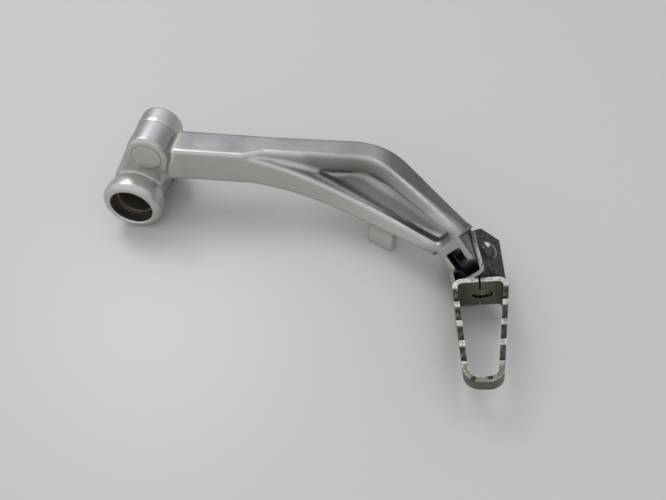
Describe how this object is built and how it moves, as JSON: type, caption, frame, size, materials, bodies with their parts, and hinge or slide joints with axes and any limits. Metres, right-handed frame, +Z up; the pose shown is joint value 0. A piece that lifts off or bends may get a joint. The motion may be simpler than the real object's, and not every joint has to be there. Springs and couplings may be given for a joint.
{
  "type": "rear brake pedal",
  "caption": "Motorbike rear brake pedal with a cast split arm, a through pivot hub and a spring-loaded folding toe loop.",
  "frame": {"origin": "on the pivot axis, 20 mm in from the hub's outer mouth", "axes": "+X along the arm towards the toe, +Y along the pivot bore towards the machine, +Z up from the table that the pedal lies on"},
  "size_m": [0.2345, 0.1492, 0.0571],
  "materials": {
    "cast_alloy": "satin silver lacquer on a cast surface",
    "bush_metal": "dull lined bearing strip",
    "dark_steel": "dark plated sheet with a worn bright edge",
    "plated_steel": "olive zinc plating, worn bright along the top edges",
    "spring_wire": "blackened spring steel"
  },
  "bodies": {
    "arm": {"pedal_arm": "cast_alloy", "pivot_bush": "bush_metal", "hinge_sleeve": "dark_steel", "torsion_spring": "spring_wire"},
    "toe": {"hinge_yoke": "dark_steel", "toe_loop": "plated_steel", "toe_welds": "dark_steel", "hinge_rivet": "dark_steel"}
  },
  "joints": [
    {"name": "toe_fold", "type": "hinge", "parent": "arm", "child": "toe", "pos_m": [0.1991, -0.042, -0.0003], "axis": [0.5878, 0, 0.809], "range_deg": [-45, 0], "stiffness_Nm_per_rad": 0.3, "springref_deg": 28.65, "deforming": ["torsion_spring"]}
  ]
}
